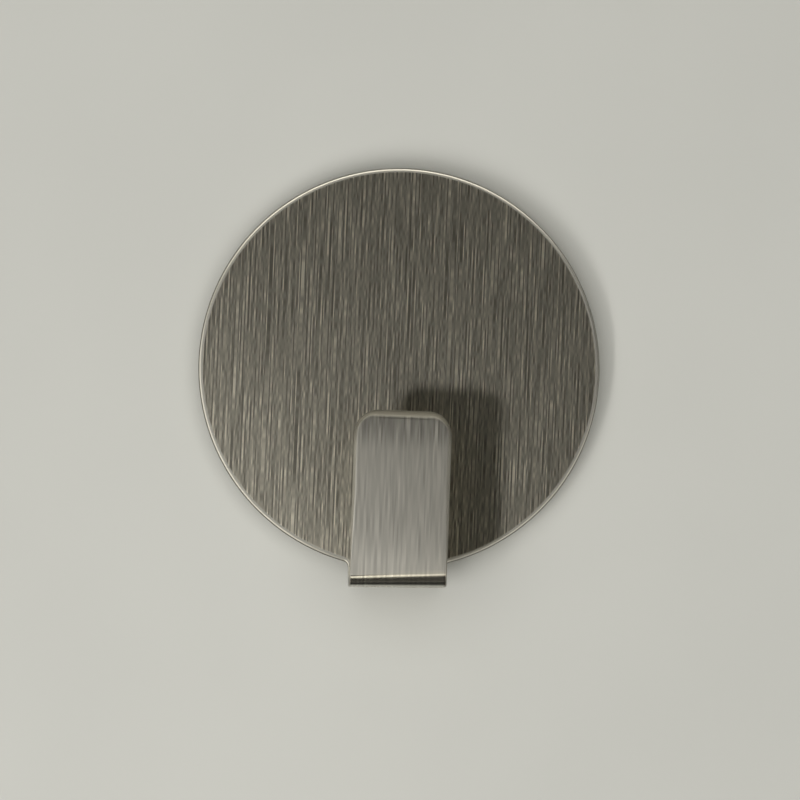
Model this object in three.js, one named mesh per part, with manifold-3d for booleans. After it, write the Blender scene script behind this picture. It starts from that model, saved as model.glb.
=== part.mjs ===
// A flat magnetic hook: one stamped and bent stainless sheet, bonded to a soft carrier that holds
// a ring of small magnets.
//
// Millimetres. +Z is up, the front faces -Y, and y = 0 is the contact face that lies on the wall.
// The origin is the centre of that face, straight behind the middle of the disc.

import * as THREE from 'three';
import { mergeVertices } from 'three/addons/utils/BufferGeometryUtils.js';
import Module from 'manifold-3d';

const wasm = await Module();
wasm.setup();

// Stainless sheet
const SHEET_THICKNESS = 1.2;
const EDGE_FLAT = 0.2;               // flat between the two round corners of the tumbled edge
const BEND_RADIUS = 0.5;             // inside radius of both bends

// Disc and neck
const DISC_DIAMETER = 50;
const STRIP_WIDTH = 12;
const NECK_FILLET = 0.8;             // hollow corner between the disc's edge and the strip
const NECK_STRAIGHT = 0.6;           // flat strip between the fillets and the rear bend

// Shelf and leaf
const THROAT = 10;                   // clear gap between the disc and the leaf
const LEAF_HEIGHT = 21.6;            // from the shelf's underside to the leaf's top edge
const LEAF_CORNER_RADIUS = 3;
const FRONT_BEND_SKEW_DEGREES = 1.2; // the front bend runs askew, which leans the leaf to the right

// Magnets, their carrier and the film that bonds them to the plate
const MAGNET_DIAMETER = 10;
const MAGNET_THICKNESS = 2;
const MAGNET_CHAMFER = 0.2;
const MAGNET_RECESS = 0.2;           // how far the magnets lie below the contact face
const POCKET_CLEARANCE = 0.15;       // all round each magnet
const POCKET_WEB = 3.5;              // least carrier between two pockets
const POCKET_RIM_WALL = 2.85;        // carrier outside each pocket
const CARRIER_SETBACK = 3;           // the carrier's rim lies inside the disc's edge
const CARRIER_CHAMFER = 0.4;
const FILM_THICKNESS = 0.3;
const FILM_SETBACK = 0.5;            // the film's edge lies inside the carrier's rim

// Facets
const HALF_DISC_STEPS = 72;
const FILLET_STEPS = 4;
const BEND_STEPS = 7;
const CORNER_STEPS = 7;
const EDGE_STEPS = 3;
const ROUND_SEGMENTS = 96;
const MAGNET_SEGMENTS = 40;

const QUARTER_TURN = Math.PI / 2;

// Levels, from the wall outwards
const carrierThickness = MAGNET_THICKNESS + MAGNET_RECESS;
const carrierFront = -carrierThickness;
const plateBack = carrierFront - FILM_THICKNESS;
const plateMiddle = plateBack - SHEET_THICKNESS / 2;

// Lengths along the middle surface of the sheet, counted from the disc's centre towards the leaf's end
const discRadius = DISC_DIAMETER / 2;
const halfWidth = STRIP_WIDTH / 2;
const filletCentre = new THREE.Vector2(
  halfWidth + NECK_FILLET,
  Math.sqrt((discRadius + NECK_FILLET) ** 2 - (halfWidth + NECK_FILLET) ** 2),
);
const frontBendSkew = THREE.MathUtils.degToRad(FRONT_BEND_SKEW_DEGREES);
const middleRadius = BEND_RADIUS + SHEET_THICKNESS / 2;
const bendLength = middleRadius * QUARTER_TURN;
const rearBendStart = filletCentre.y + NECK_STRAIGHT;
const shelfStart = rearBendStart + bendLength;
const shelfLength = THROAT - 2 * BEND_RADIUS;
const frontBendStart = shelfStart + shelfLength;
const leafStart = frontBendStart + bendLength;
const leafEnd = leafStart + LEAF_HEIGHT - BEND_RADIUS - SHEET_THICKNESS;

// Ring of magnets
const carrierRadius = discRadius - CARRIER_SETBACK;
const pocketRadius = MAGNET_DIAMETER / 2 + POCKET_CLEARANCE;
const pitchRadius = carrierRadius - POCKET_RIM_WALL - pocketRadius;
const magnetCount = Math.floor(Math.PI / Math.asin((pocketRadius + POCKET_WEB / 2) / pitchRadius));

// One edge of the flat blank, from the top of the disc to the leaf's end, on the right (side 1) or
// the left (side -1). Each point has its place across and along the sheet, and the edge's outward normal.
function blankEdge(side) {
  const edge = [];
  const add = (across, along, normalAcross, normalAlong) => edge.push({
    place: new THREE.Vector2(side * across, along),
    normal: new THREE.Vector2(side * normalAcross, normalAlong),
  });

  const neckAngle = Math.PI - Math.atan2(filletCentre.x, filletCentre.y);
  for (let i = 0; i <= HALF_DISC_STEPS; i++) {
    const angle = neckAngle * i / HALF_DISC_STEPS;
    const across = Math.sin(angle);
    const along = -Math.cos(angle);
    add(discRadius * across, discRadius * along, across, along);
  }

  for (let i = 1; i <= FILLET_STEPS; i++) {
    const angle = THREE.MathUtils.lerp(neckAngle, QUARTER_TURN, i / FILLET_STEPS);
    const across = Math.sin(angle);
    const along = -Math.cos(angle);
    add(filletCentre.x - NECK_FILLET * across, filletCentre.y - NECK_FILLET * along, across, along);
  }

  for (let i = 0; i <= BEND_STEPS; i++) {
    add(halfWidth, rearBendStart + bendLength * i / BEND_STEPS, 1, 0);
  }

  // The rows of the front bend run along its skewed line
  const skewShift = side * halfWidth * Math.tan(frontBendSkew);
  const skewStretch = 1 / Math.cos(frontBendSkew);
  for (let i = 0; i <= BEND_STEPS; i++) {
    add(halfWidth, frontBendStart + skewShift + skewStretch * bendLength * i / BEND_STEPS, 1, 0);
  }

  for (let i = 0; i <= CORNER_STEPS; i++) {
    const angle = QUARTER_TURN * i / CORNER_STEPS;
    const across = Math.cos(angle);
    const along = Math.sin(angle);
    add(
      halfWidth - LEAF_CORNER_RADIUS * (1 - across),
      leafEnd - LEAF_CORNER_RADIUS * (1 - along),
      across,
      along,
    );
  }
  return edge;
}

// Section of the sheet's edge, from its front face to its back: how far inside the outline, and how deep.
function edgeSection() {
  const radius = (SHEET_THICKNESS - EDGE_FLAT) / 2;
  const frontQuarter = [];
  for (let i = 0; i <= EDGE_STEPS; i++) {
    const angle = QUARTER_TURN * i / EDGE_STEPS;
    frontQuarter.push({ inset: radius * (1 - Math.sin(angle)), depth: radius * (1 - Math.cos(angle)) });
  }
  const backQuarter = frontQuarter
    .map(({ inset, depth }) => ({ inset, depth: SHEET_THICKNESS - depth }))
    .reverse();
  return [...frontQuarter, ...backQuarter];
}

// Right-angle bend. The run is counted along the middle surface from where the bend starts, and the offset
// from that surface towards the outside of the bend. Onward is the way the sheet was going before the bend,
// inward the way it turns.
function rightAngleBend(run, offset) {
  const angle = THREE.MathUtils.clamp(run / middleRadius, 0, QUARTER_TURN);
  const straightBefore = Math.min(run, 0);
  const straightAfter = Math.max(run - bendLength, 0);
  const radius = middleRadius + offset;
  return {
    onward: straightBefore + radius * Math.sin(angle),
    inward: straightAfter + middleRadius - radius * Math.cos(angle),
  };
}

// Where a point of the flat blank lies once both bends are made.
function bentPoint(across, along, depth) {
  const offset = depth - SHEET_THICKNESS / 2;
  if (along < shelfStart + shelfLength / 2) {
    const rear = rightAngleBend(along - rearBendStart, offset);
    return new THREE.Vector3(across, plateMiddle - rear.inward, -rearBendStart - rear.onward);
  }
  const pivot = new THREE.Vector2();
  const skewed = new THREE.Vector2(across, along - frontBendStart).rotateAround(pivot, -frontBendSkew);
  const front = rightAngleBend(skewed.y, offset);
  const plan = new THREE.Vector2(skewed.x, front.onward).rotateAround(pivot, frontBendSkew);
  const forward = middleRadius + shelfLength + plan.y;
  return new THREE.Vector3(plan.x, plateMiddle - forward, front.inward - rearBendStart - middleRadius);
}

// The sheet: a closed loop of edge points for each level of the edge's section, and a ladder of rows across
// each face, so that both bends fold along straight lines.
function hookPlateGeometry() {
  const right = blankEdge(1);
  const left = blankEdge(-1);
  const last = right.length - 1;
  const loop = [...right, ...left.slice(1).reverse()];
  const section = edgeSection();

  const positions = [];
  for (const { inset, depth } of section) {
    for (const { place, normal } of loop) {
      const point = place.clone().addScaledVector(normal, -inset);
      positions.push(...bentPoint(point.x, point.y, depth).toArray());
    }
  }

  const index = [];
  const quad = (a, b, c, d) => index.push(a, b, c, a, c, d);
  for (let level = 0; level + 1 < section.length; level++) {
    const near = level * loop.length;
    const far = near + loop.length;
    for (let i = 0; i < loop.length; i++) {
      const next = (i + 1) % loop.length;
      quad(near + i, near + next, far + next, far + i);
    }
  }

  const leftOf = (row) => loop.length - row;
  const back = (section.length - 1) * loop.length;
  index.push(0, leftOf(1), 1);
  index.push(back, back + 1, back + leftOf(1));
  for (let row = 1; row < last; row++) {
    quad(row, leftOf(row), leftOf(row + 1), row + 1);
    quad(back + row, back + row + 1, back + leftOf(row + 1), back + leftOf(row));
  }

  const geometry = new THREE.BufferGeometry();
  geometry.setAttribute('position', new THREE.Float32BufferAttribute(positions, 3));
  geometry.setIndex(index);
  geometry.computeVertexNormals();
  return geometry;
}

// Solid of revolution about the Y axis from corners of its half section, given as [radius, y].
function turned(corners, segments) {
  return new THREE.LatheGeometry(corners.map(([radius, y]) => new THREE.Vector2(radius, y)), segments);
}

function solidOf(geometry) {
  const bare = geometry.clone();
  bare.deleteAttribute('normal');
  bare.deleteAttribute('uv');
  const merged = mergeVertices(bare);
  return new wasm.Manifold(new wasm.Mesh({
    numProp: 3,
    vertProperties: merged.attributes.position.array,
    triVerts: Uint32Array.from(merged.index.array),
  }));
}

function geometryOf(solid) {
  const mesh = solid.getMesh();
  const geometry = new THREE.BufferGeometry();
  geometry.setAttribute('position', new THREE.BufferAttribute(mesh.vertProperties, mesh.numProp));
  geometry.setIndex(new THREE.BufferAttribute(mesh.triVerts, 1));
  geometry.computeVertexNormals();
  return geometry;
}

// Centres of the magnets, the first one straight above the origin.
function magnetCentres() {
  return Array.from({ length: magnetCount }, (_, i) => {
    const angle = 2 * Math.PI * i / magnetCount;
    return new THREE.Vector3(pitchRadius * Math.sin(angle), 0, pitchRadius * Math.cos(angle));
  });
}

// The carrier: a turned disc, chamfered where it meets the wall, with a round pocket right through it
// for each magnet.
function carrierGeometry() {
  const body = turned([
    [0, carrierFront],
    [carrierRadius, carrierFront],
    [carrierRadius, -CARRIER_CHAMFER],
    [carrierRadius - CARRIER_CHAMFER, 0],
    [0, 0],
  ], ROUND_SEGMENTS);
  const cutDepth = 2 * carrierThickness;   // runs past both faces
  const pocket = new THREE.CylinderGeometry(pocketRadius, pocketRadius, cutDepth, MAGNET_SEGMENTS);
  let carrier = solidOf(body);
  for (const { x, z } of magnetCentres()) {
    carrier = carrier.subtract(solidOf(pocket.clone().translate(x, carrierFront / 2, z)));
  }
  return geometryOf(carrier);
}

function filmGeometry() {
  const radius = carrierRadius - FILM_SETBACK;
  return turned([
    [0, plateBack],
    [radius, plateBack],
    [radius, carrierFront],
    [0, carrierFront],
  ], ROUND_SEGMENTS);
}

function magnetGeometry() {
  const radius = MAGNET_DIAMETER / 2;
  return turned([
    [0, 0],
    [radius - MAGNET_CHAMFER, 0],
    [radius, MAGNET_CHAMFER],
    [radius, MAGNET_THICKNESS - MAGNET_CHAMFER],
    [radius - MAGNET_CHAMFER, MAGNET_THICKNESS],
    [0, MAGNET_THICKNESS],
  ], MAGNET_SEGMENTS);
}

const hook = new THREE.Group();

function addPiece(name, geometry, finish) {
  const piece = new THREE.Mesh(geometry, new THREE.MeshStandardMaterial(finish));
  piece.name = name;
  hook.add(piece);
  return piece;
}

const brushedSteel = { color: 0xa3a098, roughness: 0.36, metalness: 1 };
const adhesive = { color: 0xd9d7cc, roughness: 0.6, metalness: 0 };
const softBlack = { color: 0x1d1d1e, roughness: 0.85, metalness: 0 };
const nickelPlate = { color: 0xbdbab2, roughness: 0.24, metalness: 1 };

addPiece('hook_plate', hookPlateGeometry(), brushedSteel);
addPiece('bonding_film', filmGeometry(), adhesive);
addPiece('magnet_carrier', carrierGeometry(), softBlack);
magnetCentres().forEach((centre, i) => {
  const magnet = addPiece(`magnet_${i + 1}`, magnetGeometry(), nickelPlate);
  magnet.position.set(centre.x, carrierFront, centre.z);
});

export default hook;
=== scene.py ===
import math
from collections import namedtuple

import bmesh
import bpy
from bpy.props import FloatProperty, FloatVectorProperty, PointerProperty
from mathutils import Matrix, Quaternion, Vector


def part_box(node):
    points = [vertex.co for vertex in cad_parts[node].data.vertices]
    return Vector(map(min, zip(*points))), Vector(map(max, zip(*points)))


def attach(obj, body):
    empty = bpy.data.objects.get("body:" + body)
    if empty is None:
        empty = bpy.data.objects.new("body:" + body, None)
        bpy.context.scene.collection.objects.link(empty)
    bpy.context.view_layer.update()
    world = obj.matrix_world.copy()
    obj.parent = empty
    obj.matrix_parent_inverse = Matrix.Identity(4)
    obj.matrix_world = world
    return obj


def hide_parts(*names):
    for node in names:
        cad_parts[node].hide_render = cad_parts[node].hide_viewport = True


# A flat magnetic hook: one brushed stainless sheet, stamped, tumbled and bent, bonded to a soft carrier that
# holds a ring of plated magnets. Metres, +Z up, the front faces -Y and the wall is at y = 0.

bl_info = {
    "name": "Magnetic Hook",
    "version": (1, 0, 0),
    "blender": (4, 5, 0),
    "location": "View3D > Sidebar > Magnetic Hook",
    "description": "Builds a flat magnetic hook of steel, rubber and nickel, lit on a pale wall",
    "category": "Object",
}

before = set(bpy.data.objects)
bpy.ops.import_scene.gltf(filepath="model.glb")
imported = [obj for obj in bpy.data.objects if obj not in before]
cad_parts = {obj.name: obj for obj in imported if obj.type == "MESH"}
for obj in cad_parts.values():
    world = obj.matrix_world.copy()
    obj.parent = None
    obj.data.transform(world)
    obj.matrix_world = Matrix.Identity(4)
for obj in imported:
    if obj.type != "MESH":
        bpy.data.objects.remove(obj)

BODY = "root"
MAGNET_NODES = sorted(
    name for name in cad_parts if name.startswith("magnet_") and name != "magnet_carrier"
)
PLATE_LOW, PLATE_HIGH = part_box("hook_plate")
FILM_LOW, FILM_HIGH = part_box("bonding_film")
CARRIER_LOW, CARRIER_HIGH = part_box("magnet_carrier")
MAGNET_LOW, MAGNET_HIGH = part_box(MAGNET_NODES[0])

QUARTER_TURN = math.pi / 2
FULL_TURN = 2 * math.pi
HOLD = 0.00002            # narrow flat strip that keeps the shading of a face level up to its round edge
FIT_TOLERANCE = 0.0003    # how far the folded plate's box may be from the frame's
SIDE_ROLL_LOSS = 0.6      # how much less the leaf's sides are rolled than its top

# Facets
HALF_DISC_STEPS = 180
FILLET_STEPS = 16
BEND_STEPS = 24
LEAF_STEPS = 20
CORNER_STEPS = 24
EDGE_STEPS = 8
CARRIER_STEPS = 256
POCKET_STEPS = 96
MAGNET_STEPS = 96
WALL_STEPS = 256

# Names of what the meshes carry for their materials
SHEET_MAP = "sheet"
EDGE_ATTRIBUTE = "edge"

FLOAT = "NodeSocketFloat"
INTEGER = "NodeSocketInt"
VECTOR = "NodeSocketVector"
GEOMETRY = "NodeSocketGeometry"
MATERIAL = "NodeSocketMaterial"


# Sizes and colours

def setting(kind, **limits):
    """What makes settings of one kind, each with its own name, description and default."""
    def make(name, description, default):
        return kind(name=name, description=description, default=default, **limits)
    return make


length = setting(FloatProperty, min=0.0, precision=5, unit="LENGTH")
offset = setting(FloatProperty, precision=5, unit="LENGTH")
radians = setting(FloatProperty, unit="ROTATION")
share = setting(FloatProperty, min=0.0, max=1.0, subtype="FACTOR")
level = setting(FloatProperty, min=0.0)
watts = setting(FloatProperty, min=0.0, unit="POWER")
heading = setting(FloatVectorProperty, size=3, subtype="DIRECTION")
colour = setting(FloatVectorProperty, size=3, min=0.0, max=1.0, subtype="COLOR")


def angle(name, description, degrees):
    return radians(name, description, math.radians(degrees))


class HookPlateSettings(bpy.types.PropertyGroup):
    disc_diameter: length("Disc diameter", "Width of the round plate", PLATE_HIGH.x - PLATE_LOW.x)
    plate_back: offset("Plate back", "Where the plate's back lies, with the wall at 0", PLATE_HIGH.y)
    sheet_thickness: length("Sheet thickness", "Gauge of the stainless sheet", 0.0012)
    bend_radius: length("Bend radius", "Inside radius of both bends", 0.0008)
    strip_width: length("Strip width", "Width of the neck, shelf and leaf", 0.012)
    neck_fillet: length("Neck fillet", "Hollow corner between the disc and the strip", 0.0008)
    neck_straight: length("Neck straight", "Flat strip between the fillets and the rear bend", 0.0004)
    throat: length("Throat", "Clear gap between the disc and the leaf", 0.010)
    leaf_height: length("Leaf height", "From the shelf's underside to the leaf's top edge", 0.0217)
    leaf_corner_radius: length("Leaf corners", "Radius of the leaf's top corners", 0.003)
    bend_skew: angle("Bend skew", "How far askew the front bend runs, which leans the leaf", 1.2)
    bend_taper: share("Bend taper", "How much the front bend's radius grows for each unit to the right", 0.07)
    leaf_bow: length("Leaf bow", "How far the leaf's middle stands out from its ends", 0.0002)
    disc_edge_round: length("Disc edge", "Rounding of the disc's tumbled edge, front and back", 0.00058)
    strip_edge_round: length("Strip edge", "Rounding of the edges of the neck, shelf and lower leaf", 0.00016)
    leaf_outer_round: length("Leaf outer edge", "Rounding of the leaf's rolled edge, on its front", 0.00105)
    leaf_inner_round: length("Leaf inner edge", "Rounding of the leaf's edge, towards the disc", 0.0001)
    steel_colour: colour("Steel", "Colour of the brushed disc and shelf", (0.62, 0.585, 0.485))
    # Paler than the steel: painted sheen for the leaf's brighter look.
    leaf_sheen_colour: colour("Leaf", "Colour of the leaf, worn paler", (0.62, 0.602, 0.54))
    rim_colour: colour("Rim", "Colour of the disc's tumbled edge", (0.66, 0.65, 0.61))
    brush_contrast: share("Brush contrast", "How strongly the brush lines show", 0.62)


class MagnetLayerSettings(bpy.types.PropertyGroup):
    carrier_wall_round: length("Carrier rim", "Rounding of the carrier's rim at the wall", 0.0004)
    carrier_plate_round: length("Carrier back", "Rounding of the carrier's other edges", 0.00012)
    pocket_clearance: length("Pocket clearance", "Gap all round each magnet", 0.00015)
    film_round: length("Film edge", "Rounding of the film's cut edge", 0.00006)
    magnet_round: length("Magnet edge", "Rounding of the magnets' plated edges", 0.0002)
    carrier_colour: colour("Carrier", "Colour of the soft carrier", (0.024, 0.024, 0.025))
    film_colour: colour("Film", "Colour of the adhesive film", (0.78, 0.77, 0.72))
    nickel_colour: colour("Nickel", "Colour of the magnets' plating", (0.66, 0.64, 0.60))


class StageSettings(bpy.types.PropertyGroup):
    wall_colour: colour("Wall", "Colour of the wall's paint", (0.62, 0.62, 0.575))
    wall_radius: length("Wall radius", "Reach of the wall round the hook", 1.5)
    lamp_colour: colour("Lamp colour", "Colour of both lamps", (1.0, 0.985, 0.975))
    key_power: watts("Key power", "Power of the compact lamp, which the metal shows", 0.116)
    key_size: length("Key size", "Diameter of the compact lamp", 0.0275)
    key_distance: length("Key distance", "From the hook to the compact lamp", 0.20)
    key_direction: heading("Key direction", "From the hook to the compact lamp", (-0.535, -1.0, -0.34))
    panel_power: watts("Panel power", "Power of the tall panel, which lights the wall", 0.36)
    panel_width: length("Panel width", "Width of the tall panel", 0.037)
    panel_height: length("Panel height", "Height of the tall panel", 0.23)
    panel_distance: length("Panel distance", "From the hook to the tall panel", 0.37)
    panel_direction: heading("Panel direction", "From the hook to the tall panel", (-0.53, -1.0, -0.60))
    room_colour: colour("Room colour", "Colour of the light from all round", (1.0, 0.995, 0.97))
    softbox_direction: heading("Softbox direction", "From the hook to the softbox", (-0.08, -1.0, -0.05))
    softbox_inner: angle("Softbox inner", "How far from its middle the softbox is at full strength", 36.0)
    softbox_outer: angle("Softbox outer", "How far from its middle the softbox ends", 46.0)
    softbox_level: level("Softbox level", "Strength of the softbox in front of the wall", 1.6)
    studio_colour: colour("Studio colour", "Colour of the studio, as the metal shows it", (1.0, 0.95, 0.82))
    front_level: level("Front level", "Strength of the dark studio, as the metal shows it", 0.003)
    arch_level: level("Arch level", "Strength of the arc above, as the metal shows it", 2.9)
    apron_level: level("Apron level", "Strength of the arc below, as the metal shows it", 1.9)
    right_level: level("Right level", "Strength of the arc at the lower right, as the metal shows it", 1.0)
    left_level: level("Left level", "Strength of the arc at the lower left, as the metal shows it", 2.1)
    floor_level: level("Floor level", "Strength of the dim floor, as the metal shows it", 0.05)
    backdrop_level: level("Backdrop level", "Strength of the pale studio behind the wall", 0.6)
    camera_distance: length("Camera distance", "From the camera to the plate's front", 1.0)
    framed_width: length("Framed width", "Width of the picture at the plate's front", 0.0996)
    camera_azimuth: angle("Camera azimuth", "How far the camera stands to the right", -1.2)
    camera_elevation: angle("Camera elevation", "How far the camera stands above the plate's middle", -2.0)
    camera_roll: angle("Camera roll", "How far the camera is turned anticlockwise", 0.8)
    aim_across: offset("Aim across", "The picture's middle, to the right of the disc's centre", 0.00016)
    aim_up: offset("Aim up", "The picture's middle, above the disc's centre", -0.00395)


class MagneticHookSettings(bpy.types.PropertyGroup):
    plate: PointerProperty(
        type=HookPlateSettings, name="Hook plate", description="Sizes and finish of the hook plate"
    )
    layer: PointerProperty(
        type=MagnetLayerSettings, name="Magnet layer", description="Sizes and finish behind the plate"
    )
    stage: PointerProperty(type=StageSettings, name="Stage", description="Wall, lamps and camera")


# Node trees

class NodeMaker:
    """Adds nodes to one tree, with each input set to a value or linked to another node's output."""

    def __init__(self, tree):
        self.tree = tree

    def feed(self, socket, value):
        if isinstance(value, bpy.types.NodeSocket):
            self.tree.links.new(value, socket)
        else:
            socket.default_value = value

    def add(self, kind, inputs=None, **settings):
        node = self.tree.nodes.new(kind)
        for name, value in settings.items():
            setattr(node, name, value)
        for key, value in (inputs or {}).items():
            self.feed(node.inputs[key], value)
        return node

    def math(self, operation, *values):
        inputs = dict(enumerate(values))
        return self.add("ShaderNodeMath", inputs, operation=operation).outputs[0]

    def vector_math(self, operation, *values):
        inputs = dict(enumerate(values))
        return self.add("ShaderNodeVectorMath", inputs, operation=operation).outputs["Vector"]

    def vector_measure(self, operation, *values):
        inputs = dict(enumerate(values))
        return self.add("ShaderNodeVectorMath", inputs, operation=operation).outputs["Value"]

    def combine(self, x, y, z):
        return self.add("ShaderNodeCombineXYZ", {"X": x, "Y": y, "Z": z}).outputs[0]

    def separate(self, vector):
        return self.add("ShaderNodeSeparateXYZ", {"Vector": vector}).outputs

    def ramp(self, value, low, high, to_low=0.0, to_high=1.0, smooth=True):
        inputs = {"Value": value, "From Min": low, "From Max": high, "To Min": to_low, "To Max": to_high}
        kind = "SMOOTHSTEP" if smooth else "LINEAR"
        return self.add("ShaderNodeMapRange", inputs, interpolation_type=kind).outputs[0]

    def mix_colour(self, factor, first, second):
        node = self.add("ShaderNodeMix", data_type="RGBA")
        sockets = {socket.identifier: socket for socket in node.inputs}
        self.feed(sockets["Factor_Float"], factor)
        self.feed(sockets["A_Color"], opaque(first))
        self.feed(sockets["B_Color"], opaque(second))
        return next(socket for socket in node.outputs if socket.identifier == "Result_Color")

    def mix_value(self, factor, first, second):
        node = self.add("ShaderNodeMix", {0: factor}, data_type="FLOAT")
        sockets = {socket.identifier: socket for socket in node.inputs}
        self.feed(sockets["A_Float"], first)
        self.feed(sockets["B_Float"], second)
        return node.outputs[0]

    def noise_along(self, value, scale, detail):
        inputs = {"W": value, "Scale": scale, "Detail": detail}
        return self.add("ShaderNodeTexNoise", inputs, noise_dimensions="1D").outputs["Fac"]

    def bump(self, height, strength, distance):
        inputs = {"Height": height, "Strength": strength, "Distance": distance}
        return self.add("ShaderNodeBump", inputs).outputs["Normal"]

    def group(self, tree, inputs):
        kind = self.tree.bl_idname.replace("NodeTree", "NodeGroup")
        return self.add(kind, inputs, node_tree=tree).outputs


def opaque(value):
    """A colour of three numbers as four, and anything else as it is."""
    if isinstance(value, bpy.types.NodeSocket):
        return value
    return (*value, 1.0)


def toned(paint, amount):
    """A colour with each part times one amount, and at most 1."""
    return [min(part * amount, 1.0) for part in paint]


def new_group(name, kind, inputs, outputs):
    """An empty node group, with the maker for its nodes and the sockets of its input node."""
    tree = bpy.data.node_groups.new(name, kind)
    for direction, sockets in (("INPUT", inputs), ("OUTPUT", outputs)):
        for socket_name, socket_type in sockets.items():
            tree.interface.new_socket(socket_name, in_out=direction, socket_type=socket_type)
    nodes = NodeMaker(tree)
    return tree, nodes, nodes.add("NodeGroupInput").outputs


def once(make):
    """Makes a node group the first time that it is asked for, and finds it again later."""
    made = []

    def found():
        if not made:
            made.append(make())
        return made[0]
    return found


# Effects that several materials share

@once
def fine_lines():
    """Straight fine lines of uneven width along the vector's Y, each broken into its own lengths."""
    tree, nodes, given = new_group(
        "Fine lines", "ShaderNodeTree",
        {"Vector": VECTOR, "Turn": FLOAT, "Across": FLOAT, "Along": FLOAT, "Seed": FLOAT},
        {"Lines": FLOAT},
    )
    unevenness = 1.5      # how far, in lines, the lines' sides are moved
    move_scale = 0.45     # how often, for each line, the moves change
    apart = 9000.0        # so far along the noise that two lines don't look alike
    even_out = 0.3        # brings a line less its neighbours back to the strength of one line
    turned = nodes.add("ShaderNodeVectorRotate", {"Vector": given["Vector"], "Angle": given["Turn"]},
                       rotation_type="Z_AXIS").outputs[0]
    across, along, _ = nodes.separate(turned)
    across = nodes.math("MULTIPLY", across, given["Across"])
    moved = nodes.noise_along(across, scale=move_scale, detail=0.0)
    line = nodes.math("FLOOR", nodes.math("MULTIPLY_ADD", moved, unevenness, across))
    line = nodes.math("ADD", line, given["Seed"])
    along = nodes.math("MULTIPLY", along, given["Along"])

    def strand(step):
        """The light and dark along a line, counted from the one at this place."""
        number = nodes.math("ADD", line, step)
        drawn = nodes.add("ShaderNodeTexWhiteNoise", {"W": number}, noise_dimensions="1D").outputs["Value"]
        return nodes.noise_along(nodes.math("MULTIPLY_ADD", drawn, apart, along), scale=1.0, detail=1.0)

    beside = nodes.math("ADD", strand(-1.0), strand(1.0))
    own = nodes.math("MULTIPLY_ADD", strand(0.0), 3.0 * even_out, 0.5 - 0.5 * even_out)
    lines = nodes.math("MULTIPLY_ADD", beside, -even_out, own)
    nodes.add("NodeGroupOutput", {"Lines": lines})
    return tree


@once
def fine_grain():
    """A close, even grain and slow clouds, both about one half."""
    tree, nodes, given = new_group(
        "Fine grain", "ShaderNodeTree",
        {"Vector": VECTOR, "Grain": FLOAT, "Clouds": FLOAT},
        {"Grain": FLOAT, "Clouds": FLOAT},
    )

    def noise(scale, detail, roughness):
        inputs = {"Vector": given["Vector"], "Scale": scale, "Detail": detail, "Roughness": roughness}
        return nodes.add("ShaderNodeTexNoise", inputs).outputs["Fac"]

    grain = noise(given["Grain"], detail=3.0, roughness=0.6)
    clouds = noise(given["Clouds"], detail=2.0, roughness=0.5)
    nodes.add("NodeGroupOutput", {"Grain": grain, "Clouds": clouds})
    return tree


# Materials

GRAIN_SPREAD = (0.3, 0.7)    # where nearly all of the values of a grain or of clouds lie


def new_material(name):
    """A material with its node maker and its Principled shader."""
    material = bpy.data.materials.new(name)
    material.use_nodes = True
    return material, NodeMaker(material.node_tree), material.node_tree.nodes["Principled BSDF"]


def finish_shader(nodes, shader, values):
    for socket_name, value in values.items():
        nodes.feed(shader.inputs[socket_name], value)


# Brush lines: their share, how many to the metre across, how many changes to the metre along, and a seed
BrushLines = namedtuple("BrushLines", "share across along seed")
DISC_LINES = (
    BrushLines(0.42, 5000.0, 60.0, 0.2),
    BrushLines(0.34, 5000.0, 140.0, 0.4),
    BrushLines(0.24, 5000.0, 620.0, 0.6),
)
LEAF_LINES = (
    BrushLines(0.5, 4300.0, 170.0, 0.2),
    BrushLines(0.5, 2600.0, 110.0, 0.4),
)
DISC_LINES_TURN = math.radians(-1.6)
PLAIN = 0.5                      # where brush lines are neither light nor dark
LINE_RANGE = (0.34, 0.66)        # from the darkest brush lines to the lightest
LINE_POWER = 1.7                 # above 1, light lines are scarcer than dark ones
LINE_DEPTH = 0.000003

# Where the steel's finish, and the painted shade at the leaf's top, change along the sheet
LEAF_TOP_FADE = (0.0052, 0.0018)    # before the leaf's end
BURNISHED_FADE = (0.13, 0.20)       # before the leaf's start, in lengths of the bend

# Where it changes round the sheet's edge, from 0 on a face to 1 on the stamped side
ROUNDED_FADE = (0.0, 0.3)
DISC_SIDE_FADE = (0.50, 0.70)
LEAF_SIDE_FADE = (0.12, 0.36)
# The disc's shoulder, just inside the rim, where painted shade dims the lamp's glint
SHOULDER_START = (0.0, 0.06)
SHOULDER_END = (0.42, 0.28)

# What it changes to. Pairs are for the leaf and for its top; the top's values add painted shade
# On the leaf, how much of the brush lines is worn off; at its top, how far they go to painted shade
LEAF_WEAR_AND_TOP_SHADE = (0.82, 0.55)            # how much of the brush lines is worn off
LEAF_LEVEL_AND_TOP_SHADE = (PLAIN, 0.425)
# Darkening of the leaf's rolled edge: a dull edge on its sides, painted shade at its top
LEAF_EDGE_DULL_AND_TOP_SHADE = (0.3, 0.8)
STAMPED_TONE = 0.25
# Painted shade on the disc's rim shoulder, which dims the lamp's glint
SHOULDER_PAINTED_SHADE = 0.74
DISC_ROUGHNESS = (0.38, 0.66, 0.40, 0.37)    # from dark lines to light ones, and how rough those are
LEAF_ROUGHNESS = 0.48
BURNISHED_ROUGHNESS = 0.22
DISC_EDGE_ROUGHNESS = 0.32
LEAF_EDGE_ROUGHNESS = 0.70
SHOULDER_ROUGHNESS = 0.78


def brush_lines(nodes, sheet, layers, turn=0.0):
    """Coarse and fine brush lines on the sheet, added up by their shares."""
    total = 0.0
    for layer in layers:
        values = {
            "Vector": sheet, "Turn": turn, "Across": layer.across, "Along": layer.along, "Seed": layer.seed,
        }
        lines = nodes.group(fine_lines(), values)["Lines"]
        total = nodes.math("ADD", nodes.math("MULTIPLY", lines, layer.share), total)
    return total


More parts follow.
